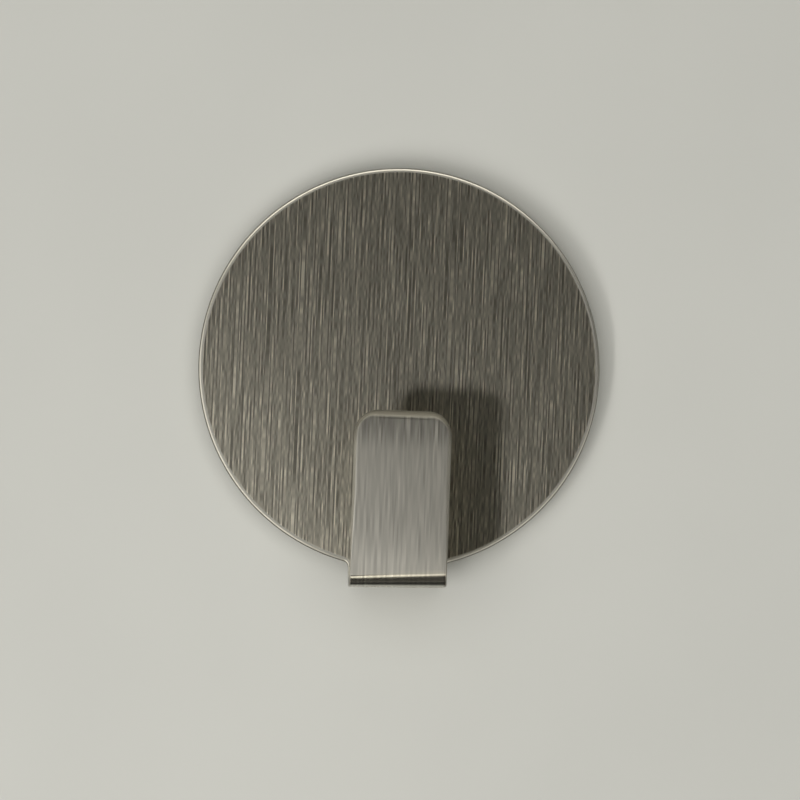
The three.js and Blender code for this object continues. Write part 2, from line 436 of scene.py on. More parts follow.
def brushed_steel(plate, plan):
    """Satin stainless, brushed along the sheet, worn smoother on the leaf and dull on its stamped side. The
    leaf's paler colour is painted sheen, and painted shade darkens the leaf's top and rolled edge and the
    disc's rim shoulder.
    """
    material, nodes, shader = new_material("brushed_steel")
    sheet = nodes.add("ShaderNodeUVMap", uv_map=SHEET_MAP).outputs["UV"]
    edge = nodes.add("ShaderNodeAttribute", attribute_name=EDGE_ATTRIBUTE).outputs["Fac"]
    along_sheet = nodes.add("ShaderNodeTangent", direction_type="UV_MAP", uv_map=SHEET_MAP).outputs["Tangent"]
    _, along, _ = nodes.separate(sheet)

    leaf = nodes.ramp(along, plan.front_bend_start - plan.bend_length, plan.front_bend_start)
    not_leaf = nodes.math("SUBTRACT", 1.0, leaf)
    leaf_top = nodes.ramp(along, *(plan.leaf_end - distance for distance in LEAF_TOP_FADE))
    bend = nodes.ramp(along, *(plan.leaf_start - part * plan.bend_length for part in BURNISHED_FADE))
    burnished = nodes.math("MULTIPLY", leaf, bend)
    rounded = nodes.ramp(edge, *ROUNDED_FADE)
    # The leaf's rolled edge is darkened: dull on its sides, painted shade towards its top.
    leaf_edge_dull_and_shade = nodes.mix_value(leaf_top, *LEAF_EDGE_DULL_AND_TOP_SHADE)
    leaf_side = nodes.math("MULTIPLY", nodes.ramp(edge, *LEAF_SIDE_FADE), leaf_edge_dull_and_shade)
    side = nodes.mix_value(leaf, nodes.ramp(edge, *DISC_SIDE_FADE), leaf_side)
    # The shoulder mask marks where painted shade dims the rim's glint.
    shaded_shoulder = nodes.math("MULTIPLY", nodes.ramp(edge, *SHOULDER_START), nodes.ramp(edge, *SHOULDER_END))
    shaded_shoulder = nodes.math("MULTIPLY", shaded_shoulder, not_leaf)

    brushed = brush_lines(nodes, sheet, DISC_LINES, DISC_LINES_TURN)
    handled = brush_lines(nodes, sheet, LEAF_LINES)
    # The leaf's brush lines are worn softer, and at its top they go darker as painted shade.
    worn = nodes.mix_value(leaf_top, *LEAF_WEAR_AND_TOP_SHADE)
    handled = nodes.mix_value(worn, handled, nodes.mix_value(leaf_top, *LEAF_LEVEL_AND_TOP_SHADE))
    lines = nodes.mix_value(rounded, nodes.mix_value(leaf, brushed, handled), PLAIN)
    light = nodes.math("POWER", nodes.ramp(lines, *LINE_RANGE, smooth=False), LINE_POWER)

    def streaked(steel):
        dark, bright = toned(steel, 1.0 - plate.brush_contrast), toned(steel, 1.0 + plate.brush_contrast)
        return nodes.mix_colour(light, dark, bright)

    # The leaf is streaked from its paler colour, which is painted sheen.
    base = nodes.mix_colour(leaf, streaked(plate.steel_colour), streaked(plate.leaf_sheen_colour))
    base = nodes.mix_colour(nodes.math("MULTIPLY", rounded, not_leaf), base, plate.rim_colour)
    # The stamped side is darker: a dull stamped edge, and on the leaf's rolled edge also painted shade.
    base = nodes.mix_colour(side, base, toned(plate.steel_colour, STAMPED_TONE))
    # Painted shade on the disc's shoulder, to dim the lamp's glint.
    base = nodes.mix_colour(shaded_shoulder, base, toned(plate.rim_colour, SHOULDER_PAINTED_SHADE))

    satin = nodes.mix_value(leaf, nodes.ramp(lines, *DISC_ROUGHNESS, smooth=False), LEAF_ROUGHNESS)
    satin = nodes.mix_value(burnished, satin, BURNISHED_ROUGHNESS)
    tumbled = nodes.mix_value(leaf, DISC_EDGE_ROUGHNESS, LEAF_EDGE_ROUGHNESS)
    roughness = nodes.mix_value(rounded, satin, tumbled)
    finish_shader(nodes, shader, {
        "Base Color": base,
        "Metallic": 1.0,
        "Roughness": nodes.mix_value(shaded_shoulder, roughness, SHOULDER_ROUGHNESS),
        "Anisotropic": 0.3,
        "Tangent": along_sheet,
        "Normal": nodes.bump(lines, strength=1.0, distance=LINE_DEPTH),
    })
    return material


def grain_on_piece(nodes, grain, clouds):
    """Places on the piece, and a grain and clouds of these scales there."""
    place = nodes.add("ShaderNodeTexCoord").outputs["Object"]
    return place, nodes.group(fine_grain(), {"Vector": place, "Grain": grain, "Clouds": clouds})


def moulded_rubber(layer):
    """Matt black moulded rubber with a fine spark-eroded grain."""
    material, nodes, shader = new_material("moulded_rubber")
    dust = 0.03
    dusty_range = (0.45, 0.75)
    _, grain = grain_on_piece(nodes, grain=5200.0, clouds=160.0)
    clouds = nodes.ramp(grain["Clouds"], *dusty_range)
    dusty = [part + dust for part in layer.carrier_colour]
    finish_shader(nodes, shader, {
        "Base Color": nodes.mix_colour(clouds, layer.carrier_colour, dusty),
        "Roughness": nodes.ramp(grain["Grain"], *GRAIN_SPREAD, to_low=0.62, to_high=0.82, smooth=False),
        "Normal": nodes.bump(grain["Grain"], strength=0.6, distance=0.00006),
    })
    return material


def adhesive_film(layer):
    """Pale translucent adhesive film with faint clouds and a soft gloss."""
    material, nodes, shader = new_material("adhesive_film")
    milky_tone = 0.9
    milky_range = (0.35, 0.65)
    _, grain = grain_on_piece(nodes, grain=2600.0, clouds=300.0)
    clouds = nodes.ramp(grain["Clouds"], *milky_range)
    finish_shader(nodes, shader, {
        "Base Color": nodes.mix_colour(clouds, toned(layer.film_colour, milky_tone), layer.film_colour),
        "Roughness": nodes.ramp(grain["Grain"], *GRAIN_SPREAD, to_low=0.38, to_high=0.55, smooth=False),
        "Subsurface Weight": 0.4,
        "Subsurface Scale": 0.0003,
        "Normal": nodes.bump(grain["Grain"], strength=0.3, distance=0.00002),
    })
    return material


def nickel_plate(layer):
    """Bright nickel plate with hairline scratches both ways and slow clouds of dulling."""
    material, nodes, shader = new_material("nickel_plate")
    scratch_lines = {"Across": 5200.0, "Along": 140.0, "Seed": 0.2}
    scratch_range = (0.60, 0.74)
    scratch_turns = (24.0, -57.0)
    scratch_roughness = 0.12
    dull_tone = 0.86
    place, grain = grain_on_piece(nodes, grain=3000.0, clouds=240.0)
    across, _, up = nodes.separate(place)
    flat = nodes.combine(across, up, 0.0)

    def scratches(degrees):
        values = {"Vector": flat, "Turn": math.radians(degrees), **scratch_lines}
        return nodes.ramp(nodes.group(fine_lines(), values)["Lines"], *scratch_range)

    scratched = nodes.math("MAXIMUM", *(scratches(degrees) for degrees in scratch_turns))
    cloudy = nodes.ramp(grain["Clouds"], *GRAIN_SPREAD)
    clouded = nodes.ramp(grain["Clouds"], *GRAIN_SPREAD, to_low=0.16, to_high=0.28, smooth=False)
    finish_shader(nodes, shader, {
        "Base Color": nodes.mix_colour(cloudy, layer.nickel_colour, toned(layer.nickel_colour, dull_tone)),
        "Metallic": 1.0,
        "Roughness": nodes.math("ADD", clouded, nodes.math("MULTIPLY", scratched, scratch_roughness)),
        "Normal": nodes.bump(scratched, strength=0.4, distance=0.000006),
    })
    return material


def wall_paint(stage, rim_radius):
    """Pale matt paint, seen from the front. In the metal it is clear behind the rim, and farther out its
    reflection is painted dark.
    """
    material, nodes, shader = new_material("wall_paint")
    fade = (1.4 * rim_radius, 2.2 * rim_radius)
    reflection_dark_tone = 0.05
    cloud_tone = 0.975
    place, grain = grain_on_piece(nodes, grain=900.0, clouds=30.0)
    clouds = nodes.ramp(grain["Clouds"], *GRAIN_SPREAD)
    base = nodes.mix_colour(clouds, toned(stage.wall_colour, cloud_tone), stage.wall_colour)
    across, _, up = nodes.separate(place)
    distance = nodes.vector_measure("LENGTH", nodes.combine(across, 0.0, up))
    glossy = nodes.add("ShaderNodeLightPath").outputs["Is Glossy Ray"]
    # Painted dark reflection: the metal sees the wall darkened farther out.
    dark_in_metal = nodes.math("MULTIPLY", glossy, nodes.ramp(distance, *fade))
    finish_shader(nodes, shader, {
        "Base Color": nodes.mix_colour(dark_in_metal, base, toned(stage.wall_colour, reflection_dark_tone)),
        "Roughness": 0.75,
        "Specular IOR Level": 0.25,
        "Normal": nodes.bump(grain["Grain"], strength=0.12, distance=0.00008),
    })
    looked_through = nodes.math("MULTIPLY", nodes.math("LESS_THAN", distance, rim_radius), glossy)
    back = nodes.add("ShaderNodeNewGeometry").outputs["Backfacing"]
    clear = nodes.math("MAXIMUM", looked_through, back)
    open_side = nodes.add("ShaderNodeBsdfTransparent").outputs["BSDF"]
    either = nodes.add("ShaderNodeMixShader", {0: clear, 1: shader.outputs["BSDF"], 2: open_side})
    nodes.feed(material.node_tree.nodes["Material Output"].inputs["Surface"], either.outputs["Shader"])
    return material


# Flat pieces with round edges

OutlinePoint = namedtuple("OutlinePoint", "place normal")
Ring = namedtuple("Ring", "inset depth reach edge")


def circle_outline(radius, steps, centre=(0.0, 0.0), hollow=False):
    """Points round a circle. Normals point out of the material, so into the circle of a hollow one."""
    side = -1.0 if hollow else 1.0
    outline = []
    for i in range(steps):
        turn = FULL_TURN * i / steps
        outward = Vector((math.sin(turn), -math.cos(turn)))
        outline.append(OutlinePoint(Vector(centre) + radius * outward, side * outward))
    return outline


def round_corner(radius):
    """Rings of one round edge, from its face to its side. Reach is the place on the unrolled sheet."""
    rings = [Ring(radius + HOLD, 0.0, -radius - HOLD, 0.0)]
    for i in range(EDGE_STEPS + 1):
        turn = QUARTER_TURN * i / EDGE_STEPS
        inset = radius * (1.0 - math.sin(turn))
        depth = radius * (1.0 - math.cos(turn))
        rings.append(Ring(inset, depth, radius * (turn - 1.0), i / EDGE_STEPS))
    return rings


def edge_section(thickness, front_round, back_round):
    """Rings of a whole edge, from the front face round the side to the back face."""
    front = round_corner(front_round)
    back = [ring._replace(depth=thickness - ring.depth) for ring in round_corner(back_round)]
    middle_depth = (front[-1].depth + back[-1].depth) / 2
    middle_reach = front[-1].reach + middle_depth - front[-1].depth
    return [*front, Ring(0.0, middle_depth, middle_reach, 1.0), *reversed(back)]


def fill_between(bm, loops):
    """Closes a flat face between an outer loop and any inner ones."""
    edges = [bm.edges.get((a, b)) for loop in loops for a, b in zip(loop, loop[1:] + loop[:1])]
    bmesh.ops.triangle_fill(bm, use_beauty=True, edges=edges)


def ladder_across(bm, loops):
    """Closes the flat face of one symmetric loop with straight rows from its right side to its left."""
    (loop,) = loops
    rows = len(loop) // 2
    bm.faces.new((loop[0], loop[1], loop[-1]))
    for row in range(1, rows):
        bm.faces.new((loop[row], loop[row + 1], loop[-row - 1], loop[-row]))


def slab_mesh(name, outlines, section_at, close_face):
    """A flat piece in its own plane: X across, Y along, Z deep, with its edge's section at each point."""
    bm = bmesh.new()
    edge_layer = bm.verts.layers.float.new(EDGE_ATTRIBUTE)
    sheet_layer = bm.loops.layers.uv.new(SHEET_MAP)
    sheet_place = {}
    front_loops, back_loops = [], []
    for outline in outlines:
        loops = []
        for rings in zip(*(section_at(point) for point in outline)):
            loop = []
            for point, ring in zip(outline, rings):
                place = point.place - point.normal * ring.inset
                vert = bm.verts.new((*place, ring.depth))
                vert[edge_layer] = ring.edge
                sheet_place[vert] = point.place + point.normal * ring.reach
                loop.append(vert)
            loops.append(loop)
        for near, far in zip(loops, loops[1:]):
            for i in range(len(outline)):
                bm.faces.new((near[i - 1], near[i], far[i], far[i - 1]))
        front_loops.append(loops[0])
        back_loops.append(loops[-1])
    close_face(bm, front_loops)
    close_face(bm, back_loops)
    bmesh.ops.recalc_face_normals(bm, faces=bm.faces)
    for face in bm.faces:
        face.smooth = True
        for corner in face.loops:
            corner[sheet_layer].uv = sheet_place[corner.vert]
    mesh = bpy.data.meshes.new(name)
    bm.to_mesh(mesh)
    bm.free()
    return mesh


def standing_slab(name, front, back, outlines, front_round, back_round):
    """A flat piece with one section all round its edges, stood up between two levels before the wall."""
    section = edge_section(back - front, front_round, back_round)
    mesh = slab_mesh(name, outlines, lambda point: section, fill_between)
    mesh.transform(Matrix.Translation((0.0, front, 0.0)) @ Matrix.Rotation(-QUARTER_TURN, 4, "X"))
    return mesh


def add_object(name, mesh):
    piece = bpy.data.objects.new(name, mesh)
    bpy.context.scene.collection.objects.link(piece)
    return piece


def end_tree(nodes, geometry, material):
    """Ends a geometry tree with plain mesh in one material."""
    real = nodes.add("GeometryNodeRealizeInstances", {"Geometry": geometry}).outputs["Geometry"]
    coated = nodes.add("GeometryNodeSetMaterial", {"Geometry": real, "Material": material})
    nodes.add("NodeGroupOutput", {"Geometry": coated.outputs["Geometry"]})


def run_tree(piece, tree, values):
    """Runs a geometry tree on the piece, and leaves what it makes as the piece's plain mesh."""
    modifier = piece.modifiers.new(tree.name, "NODES")
    modifier.node_group = tree
    for socket in tree.interface.items_tree:
        if socket.in_out == "INPUT" and socket.name in values:
            modifier[socket.identifier] = values[socket.name]
    depsgraph = bpy.context.evaluated_depsgraph_get()
    made = bpy.data.meshes.new_from_object(
        piece.evaluated_get(depsgraph), preserve_all_data_layers=True, depsgraph=depsgraph
    )
    piece.modifiers.remove(modifier)
    flat = piece.data
    piece.data = made
    bpy.data.meshes.remove(flat)
    made.name = piece.name


def hand_over(piece, slot, *nodes):
    """Rides the piece on the hook's one body, in place of its frame nodes."""
    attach(piece, BODY)
    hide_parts(*nodes)


# Hook plate

def part_way(value, start, end):
    """How far the value has come from start to end, held between 0 and 1."""
    return min(max((value - start) / (end - start), 0.0), 1.0)


def between(first, second, part):
    return first + (second - first) * part


class SheetPlan:
    """Lengths along the middle of the sheet, counted from the disc's centre towards the leaf's end."""

    def __init__(self, plate):
        self.plate = plate
        self.disc_radius = plate.disc_diameter / 2
        self.half_width = plate.strip_width / 2
        fillet_across = self.half_width + plate.neck_fillet
        reach = self.disc_radius + plate.neck_fillet
        self.fillet_centre = Vector((fillet_across, math.sqrt(reach ** 2 - fillet_across ** 2)))
        self.middle_radius = plate.bend_radius + plate.sheet_thickness / 2
        self.bend_length = self.middle_radius * QUARTER_TURN
        self.rear_bend_start = self.fillet_centre.y + plate.neck_straight
        shelf_length = plate.throat - 2 * plate.bend_radius
        self.front_bend_start = self.rear_bend_start + self.bend_length + shelf_length
        self.leaf_start = self.front_bend_start + self.bend_length
        self.leaf_end = self.leaf_start + plate.leaf_height - plate.bend_radius - plate.sheet_thickness

    def bend_rows(self, start):
        """Places along the sheet of a bend's rows, with a narrow flat one before and after it."""
        rows = [start + self.bend_length * i / BEND_STEPS for i in range(BEND_STEPS + 1)]
        return [start - HOLD, *rows, start + self.bend_length + HOLD]

    def right_edge(self):
        """The blank's right edge, from the top of the disc to the middle of the leaf's end."""
        plate = self.plate
        edge = []

        def add(across, along, normal):
            edge.append(OutlinePoint(Vector((across, along)), normal))

        neck_turn = math.pi - math.atan2(self.fillet_centre.x, self.fillet_centre.y)
        for i in range(HALF_DISC_STEPS + 1):
            turn = neck_turn * i / HALF_DISC_STEPS
            normal = Vector((math.sin(turn), -math.cos(turn)))
            add(*(self.disc_radius * normal), normal)
        for i in range(1, FILLET_STEPS + 1):
            turn = neck_turn + (QUARTER_TURN - neck_turn) * i / FILLET_STEPS
            normal = Vector((math.sin(turn), -math.cos(turn)))
            add(*(self.fillet_centre - plate.neck_fillet * normal), normal)
        sideways = Vector((1.0, 0.0))
        for along in self.bend_rows(self.rear_bend_start) + self.bend_rows(self.front_bend_start):
            add(self.half_width, along, sideways)
        leaf_side = self.leaf_end - plate.leaf_corner_radius - self.leaf_start
        for i in range(1, LEAF_STEPS):
            add(self.half_width, self.leaf_start + leaf_side * i / LEAF_STEPS, sideways)
        for i in range(CORNER_STEPS + 1):
            turn = QUARTER_TURN * i / CORNER_STEPS
            normal = Vector((math.cos(turn), math.sin(turn)))
            corner = Vector((self.half_width, self.leaf_end)) - Vector((1.0, 1.0)) * plate.leaf_corner_radius
            add(*(corner + plate.leaf_corner_radius * normal), normal)
        return edge

    def section_at(self, point):
        """The edge's section: alike on the disc's two faces, rolled on the back of the blank's upper leaf."""
        plate = self.plate
        rolled = part_way(point.place.y, self.leaf_start, (self.leaf_start + self.leaf_end) / 2)
        rolled *= 1.0 - SIDE_ROLL_LOSS * abs(point.normal.x)
        necked = part_way(point.place.y, self.fillet_centre.y - plate.neck_fillet, self.fillet_centre.y)
        plain_round = between(plate.disc_edge_round, plate.strip_edge_round, necked)
        front_round = between(plain_round, plate.leaf_inner_round, rolled)
        back_round = between(plain_round, plate.leaf_outer_round, rolled)
        return edge_section(plate.sheet_thickness, front_round, back_round)

    def outline(self):
        """The whole blank, with the rows of the front bend laid along its skewed line."""
        slope = math.tan(self.plate.bend_skew)
        stretch = 1.0 / math.cos(self.plate.bend_skew)

        def skewed(point):
            across, along = point.place
            run = along - self.front_bend_start
            if -HOLD * 2 < run < self.bend_length + HOLD * 2:
                along = self.front_bend_start + run * stretch + across * slope
            return point._replace(place=Vector((across, along)))

        right = self.right_edge()
        left = [
            point._replace(place=point.place * Vector((-1.0, 1.0)), normal=point.normal * Vector((-1.0, 1.0)))
            for point in right[1:]
        ]
        return [skewed(point) for point in [*right, *reversed(left)]]


@once
def right_angle_bend():
    """Moves the points of a flat sheet past a line round a right angle, towards its front face."""
    tree, nodes, given = new_group(
        "Right-angle bend", "GeometryNodeTree",
        {"Position": VECTOR, "Start": FLOAT, "Skew": FLOAT, "Taper": FLOAT, "Middle radius": FLOAT,
         "Sheet thickness": FLOAT},
        {"Position": VECTOR},
    )
    fade_length = 0.001    # of the flat sheet on either side that makes room for a wider or tighter bend
    pivot = nodes.combine(0.0, given["Start"], 0.0)
    radius = given["Middle radius"]

    def turned(position, turn):
        return nodes.add("ShaderNodeVectorRotate", {"Vector": position, "Center": pivot, "Angle": turn},
                         rotation_type="Z_AXIS").outputs[0]

    square = turned(given["Position"], nodes.math("MULTIPLY", given["Skew"], -1.0))
    across, along, depth = nodes.separate(square)
    run = nodes.math("SUBTRACT", along, given["Start"])
    bend_length = nodes.math("MULTIPLY", radius, QUARTER_TURN)
    whole_turn = nodes.math("DIVIDE", run, radius)
    turn = nodes.add("ShaderNodeClamp", {"Value": whole_turn, "Max": QUARTER_TURN}).outputs[0]
    before = nodes.math("MINIMUM", run, 0.0)
    after = nodes.math("MAXIMUM", nodes.math("SUBTRACT", run, bend_length), 0.0)
    wider = nodes.math("MULTIPLY", across, given["Taper"])
    wider_before = nodes.math("MULTIPLY", wider, nodes.ramp(before, -fade_length, 0.0, smooth=False))
    wider_after = nodes.math("MULTIPLY", wider, nodes.ramp(after, fade_length, 0.0, smooth=False))
    half_sheet = nodes.math("MULTIPLY", given["Sheet thickness"], 0.5)
    reach = nodes.math("ADD", nodes.math("ADD", radius, wider), nodes.math("SUBTRACT", depth, half_sheet))
    onward = nodes.math("SUBTRACT", before, wider_before)
    onward = nodes.math("ADD", onward, nodes.math("MULTIPLY", reach, nodes.math("SINE", turn)))
    inward = nodes.math("ADD", radius, nodes.math("ADD", after, wider_after))
    inward = nodes.math("SUBTRACT", inward, nodes.math("MULTIPLY", reach, nodes.math("COSINE", turn)))
    bent = nodes.combine(
        across, nodes.math("ADD", given["Start"], onward), nodes.math("SUBTRACT", half_sheet, inward)
    )
    nodes.add("NodeGroupOutput", {"Position": turned(bent, given["Skew"])})
    return tree


@once
def fold_blank():
    """Bows the flat blank's leaf, folds the blank along both bend lines and stands it before the wall."""
    tree, nodes, given = new_group(
        "Fold blank", "GeometryNodeTree",
        {"Geometry": GEOMETRY, "Sheet thickness": FLOAT, "Middle radius": FLOAT, "Rear bend start": FLOAT,
         "Front bend start": FLOAT, "Front bend skew": FLOAT, "Front bend taper": FLOAT, "Leaf start": FLOAT,
         "Leaf end": FLOAT, "Leaf bow": FLOAT, "Plate front": FLOAT, "Material": MATERIAL},
        {"Geometry": GEOMETRY},
    )
    bow_power = 4.0    # a higher power bows the ends more and leaves the middle flatter
    place = nodes.add("GeometryNodeInputPosition").outputs["Position"]
    _, along, _ = nodes.separate(place)
    from_middle = nodes.ramp(along, given["Leaf start"], given["Leaf end"], -1.0, 1.0, smooth=False)
    crown = nodes.math("SUBTRACT", 1.0, nodes.math("POWER", nodes.math("ABSOLUTE", from_middle), bow_power))
    bowed = nodes.combine(0.0, 0.0, nodes.math("MULTIPLY", crown, given["Leaf bow"]))
    place = nodes.vector_math("ADD", place, bowed)
    sheet = {"Middle radius": given["Middle radius"], "Sheet thickness": given["Sheet thickness"]}
    front = {"Position": place, "Start": given["Front bend start"], "Skew": given["Front bend skew"],
             "Taper": given["Front bend taper"]}
    place = nodes.group(right_angle_bend(), {**front, **sheet})["Position"]
    rear = {"Position": place, "Start": given["Rear bend start"], "Skew": 0.0, "Taper": 0.0}
    place = nodes.group(right_angle_bend(), {**rear, **sheet})["Position"]
    folded = nodes.add("GeometryNodeSetPosition", {"Geometry": given["Geometry"], "Position": place})
    upright = nodes.add("GeometryNodeTransform", {
        "Geometry": folded.outputs["Geometry"],
        "Translation": nodes.combine(0.0, given["Plate front"], 0.0),
        "Rotation": (-QUARTER_TURN, 0.0, 0.0),
    })
    end_tree(nodes, upright.outputs["Geometry"], given["Material"])
    return tree


class AddHookPlate(bpy.types.Operator):
    """Add the bent stainless plate: disc, neck, shelf and leaf in one sheet"""
    bl_idname = "mesh.add_hook_plate"
    bl_label = "Add Hook Plate"

    def execute(self, context):
        plate = context.scene.magnetic_hook.plate
        plan = SheetPlan(plate)
        blank = slab_mesh("hook_plate_blank", [plan.outline()], plan.section_at, ladder_across)
        piece = add_object("brushed_hook_plate", blank)
        run_tree(piece, fold_blank(), {
            "Sheet thickness": plate.sheet_thickness,
            "Middle radius": plan.middle_radius,
            "Rear bend start": plan.rear_bend_start,
            "Front bend start": plan.front_bend_start,
            "Front bend skew": plate.bend_skew,
            "Front bend taper": plate.bend_taper,
            "Leaf start": plan.leaf_start,
            "Leaf end": plan.leaf_end,
            "Leaf bow": plate.leaf_bow,
            "Plate front": plate.plate_back - plate.sheet_thickness,
            "Material": brushed_steel(plate, plan),
        })
        self.check_fit(piece)
        hand_over(piece, "stainless", "hook_plate")
        return {"FINISHED"}

    def check_fit(self, piece):
        """Stops the script if the folded sheet isn't where the frame's plate is."""
        for axis in range(3):
            places = [vert.co[axis] for vert in piece.data.vertices]
            low_gap = abs(min(places) - PLATE_LOW[axis])
            high_gap = abs(max(places) - PLATE_HIGH[axis])
            if max(low_gap, high_gap) > FIT_TOLERANCE:
                raise RuntimeError(f"the folded plate is off by {low_gap} and {high_gap} on axis {axis}")


# Magnet layer

class AddBondingFilm(bpy.types.Operator):
    """Add the adhesive film between the plate and the magnet carrier"""
    bl_idname = "mesh.add_bonding_film"
    bl_label = "Add Bonding Film"

    def execute(self, context):
        layer = context.scene.magnetic_hook.layer
        outline = circle_outline(FILM_HIGH.x, CARRIER_STEPS)
        mesh = standing_slab(
            "adhesive_film", FILM_LOW.y, FILM_HIGH.y, [outline], layer.film_round, layer.film_round
        )
        mesh.materials.append(adhesive_film(layer))
        hand_over(add_object("adhesive_film", mesh), "film", "bonding_film")
        return {"FINISHED"}


def magnet_centres():
    """Centres of the magnets in the wall's plane, as the frame has them."""
    boxes = [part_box(node) for node in MAGNET_NODES]
    return [(low + high) / 2 for low, high in boxes]


class AddMagnetCarrier(bpy.types.Operator):
    """Add the soft carrier disc with a round pocket for each magnet"""
    bl_idname = "mesh.add_magnet_carrier"
    bl_label = "Add Magnet Carrier"

    def execute(self, context):
        layer = context.scene.magnetic_hook.layer
        pocket_radius = (MAGNET_HIGH.x - MAGNET_LOW.x) / 2 + layer.pocket_clearance
        outlines = [circle_outline(CARRIER_HIGH.x, CARRIER_STEPS)]
        for centre in magnet_centres():
            outlines.append(circle_outline(pocket_radius, POCKET_STEPS, (centre.x, -centre.z), hollow=True))
        mesh = standing_slab(
            "rubber_carrier", CARRIER_LOW.y, CARRIER_HIGH.y, outlines,
            layer.carrier_plate_round, layer.carrier_wall_round,
        )
        mesh.materials.append(moulded_rubber(layer))
        hand_over(add_object("rubber_carrier", mesh), "carrier", "magnet_carrier")
        return {"FINISHED"}


@once
def ring_of_copies():
    """Sets copies of a piece on a ring in the wall's plane, the first one straight above the middle."""
    tree, nodes, given = new_group(
        "Ring of copies", "GeometryNodeTree",
        {"Geometry": GEOMETRY, "Count": INTEGER, "Pitch radius": FLOAT, "Material": MATERIAL},
        {"Geometry": GEOMETRY},
    )
    index = nodes.add("GeometryNodeInputIndex").outputs["Index"]
    turn = nodes.math("MULTIPLY", nodes.math("DIVIDE", index, given["Count"]), FULL_TURN)
    across = nodes.math("MULTIPLY", nodes.math("SINE", turn), given["Pitch radius"])
    up = nodes.math("MULTIPLY", nodes.math("COSINE", turn), given["Pitch radius"])
    places = nodes.combine(across, 0.0, up)
    points = nodes.add("GeometryNodePoints", {"Count": given["Count"], "Position": places}).outputs[0]
    copies = nodes.add("GeometryNodeInstanceOnPoints", {"Points": points, "Instance": given["Geometry"]})
    end_tree(nodes, copies.outputs["Instances"], given["Material"])
    return tree


class AddMagnets(bpy.types.Operator):
    """Add the ring of plated magnets in the carrier's pockets"""
    bl_idname = "mesh.add_magnets"
    bl_label = "Add Magnets"

    def execute(self, context):
        layer = context.scene.magnetic_hook.layer
        radius = (MAGNET_HIGH.x - MAGNET_LOW.x) / 2
        outline = circle_outline(radius, MAGNET_STEPS)
        magnet = standing_slab(
            "magnet", MAGNET_LOW.y, MAGNET_HIGH.y, [outline], layer.magnet_round, layer.magnet_round
        )
        piece = add_object("plated_magnets", magnet)
        first = magnet_centres()[0]
        run_tree(piece, ring_of_copies(), {
            "Count": len(MAGNET_NODES),
            "Pitch radius": math.hypot(first.x, first.z),
            "Material": nickel_plate(layer),
        })
        hand_over(piece, "nickel", *MAGNET_NODES)
        return {"FINISHED"}


# Stage

def add_wall(stage, hole_radius):
    """A round wall, open where the carrier covers it, so that light reaches the magnets from behind."""
    bm = bmesh.new()
    rings = []
    for radius in (hole_radius, stage.wall_radius):
        ring = []
        for i in range(WALL_STEPS):
            turn = FULL_TURN * i / WALL_STEPS
            ring.append(bm.verts.new((radius * math.sin(turn), 0.0, radius * math.cos(turn))))
        rings.append(ring)
    inner, outer = rings
    for i in range(WALL_STEPS):
        bm.faces.new((inner[i - 1], inner[i], outer[i], outer[i - 1]))
    mesh = bpy.data.meshes.new("wall")
    bm.to_mesh(mesh)
    bm.free()
    mesh.materials.append(wall_paint(stage, PLATE_HIGH.x))
    add_object("wall", mesh)


def add_lamp(name, direction, distance, power, tint):
    lamp = bpy.data.lights.new(name, "AREA")
    lamp.energy = power
    lamp.color = tint
    towards = Vector(direction).normalized()
    fixture = bpy.data.objects.new(name, lamp)
    fixture.location = towards * distance
    fixture.rotation_euler = towards.to_track_quat("Z", "Y").to_euler()
    fixture.visible_camera = False
    bpy.context.scene.collection.objects.link(fixture)
    return lamp, fixture


def add_lamps(stage):
    """A compact lamp that the metal shows, and a tall panel on the same side that lights the wall."""
    key, key_fixture = add_lamp(
        "key_lamp", stage.key_direction, stage.key_distance, stage.key_power, stage.lamp_colour
    )
    key.shape = "DISK"
    key.size = stage.key_size
    key_fixture.visible_diffuse = False
    panel, panel_fixture = add_lamp(
        "panel_lamp", stage.panel_direction, stage.panel_distance, stage.panel_power, stage.lamp_colour
    )
    panel.shape = "RECTANGLE"
    panel.size = stage.panel_width
    panel.size_y = stage.panel_height
    panel_fixture.visible_glossy = False


# Arcs of light that the metal shows: the way to the arc's middle, half its turn round the line of sight,
# and how far off that line it starts and ends, in degrees
Arc = namedtuple("Arc", "middle half_turn near far")
ARCH = Arc((-0.12, 0.0, 0.99), 48.0, 60.0, 85.0)
APRON = Arc((0.15, 0.0, -1.0), 32.0, 31.0, 47.0)
RIGHT_STRIP = Arc((0.76, 0.0, -0.65), 25.0, 58.0, 88.0)
LEFT_STRIP = Arc((-0.9, 0.0, -0.44), 40.0, 68.0, 100.0)
FLOOR = Arc((0.15, 0.0, -1.0), 40.0, 52.0, 95.0)
ARC_SOFT_SIDE = math.radians(3.0)
ARC_SOFT_END = math.radians(15.0)
WALL_PLANE_FADE = (-0.20, 0.30)    # from before the wall to behind it


